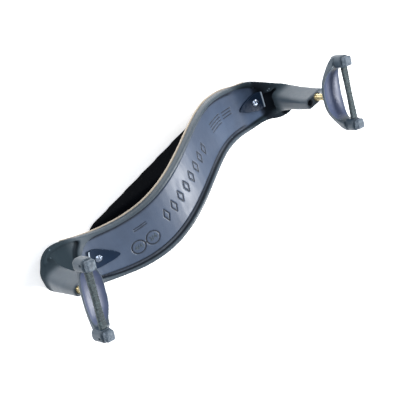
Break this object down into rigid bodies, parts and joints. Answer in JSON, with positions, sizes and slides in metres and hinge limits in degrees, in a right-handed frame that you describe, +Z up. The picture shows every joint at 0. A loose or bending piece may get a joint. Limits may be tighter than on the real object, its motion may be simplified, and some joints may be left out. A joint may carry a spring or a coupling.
{
  "type": "violin shoulder rest",
  "caption": "Bridge-type shoulder rest: S-shaped arched moulded shell with a foam pad, end risers and two clawed feet on brass height screws.",
  "frame": {"origin": "on the table under the pad, midway between the two height screws", "axes": "+X along the rest toward the right foot, +Y across toward the player's chin, +Z up toward the violin's back"},
  "size_m": [0.2216, 0.0536, 0.0666],
  "materials": {
    "shell_plastic": "satin moulded, slate blue",
    "liner_felt": "thin cream lining",
    "pad_foam": "black closed-cell foam",
    "tongue_blue": "petrol blue, semi-gloss",
    "steel": "turned",
    "brass": "bright turned brass",
    "foot_plastic": "satin moulded, slate",
    "strap_rubber": "ribbed rubber",
    "tip_rubber": "soft grey rubber",
    "pin_black": "black"
  },
  "bodies": {
    "rest": {"body_shell": "shell_plastic", "underside_liner": "liner_felt", "shoulder_pad": "pad_foam", "left_tongue_plate": "tongue_blue", "left_plate_screw": "steel", "right_tongue_plate": "tongue_blue", "right_plate_screw": "steel"},
    "left_screw": {"left_height_screw": "brass"},
    "left_foot": {"left_foot_plate": "foot_plastic", "left_grip_strap": "strap_rubber", "left_front_claw_tip": "tip_rubber", "left_front_strap_pin": "pin_black", "left_rear_claw_tip": "tip_rubber", "left_rear_strap_pin": "pin_black"},
    "right_screw": {"right_height_screw": "brass"},
    "right_foot": {"right_foot_plate": "foot_plastic", "right_grip_strap": "strap_rubber", "right_front_claw_tip": "tip_rubber", "right_front_strap_pin": "pin_black", "right_rear_claw_tip": "tip_rubber", "right_rear_strap_pin": "pin_black"}
  },
  "joints": [
    {"name": "left_foot_height", "type": "slide", "parent": "rest", "child": "left_screw", "axis": [0, 0, 1], "range_m": [-0.00701, 0.00701]},
    {"name": "left_foot_turn", "type": "hinge", "parent": "left_screw", "child": "left_foot", "pos_m": [-0.0965, 0.0042, 0.0508], "axis": [0, 0, 1], "range_deg": [-3600, 3600]},
    {"name": "right_foot_height", "type": "slide", "parent": "rest", "child": "right_screw", "axis": [0, 0, 1], "range_m": [-0.00701, 0.00701]},
    {"name": "right_foot_turn", "type": "hinge", "parent": "right_screw", "child": "right_foot", "pos_m": [0.0965, -0.0042, 0.0508], "axis": [0, 0, 1], "range_deg": [-3600, 3600]}
  ],
  "couplings": [
    {"joint": "left_foot_height", "follows": "left_foot_turn", "m_per_rad": 0.00011141},
    {"joint": "right_foot_height", "follows": "right_foot_turn", "m_per_rad": 0.00011141}
  ]
}
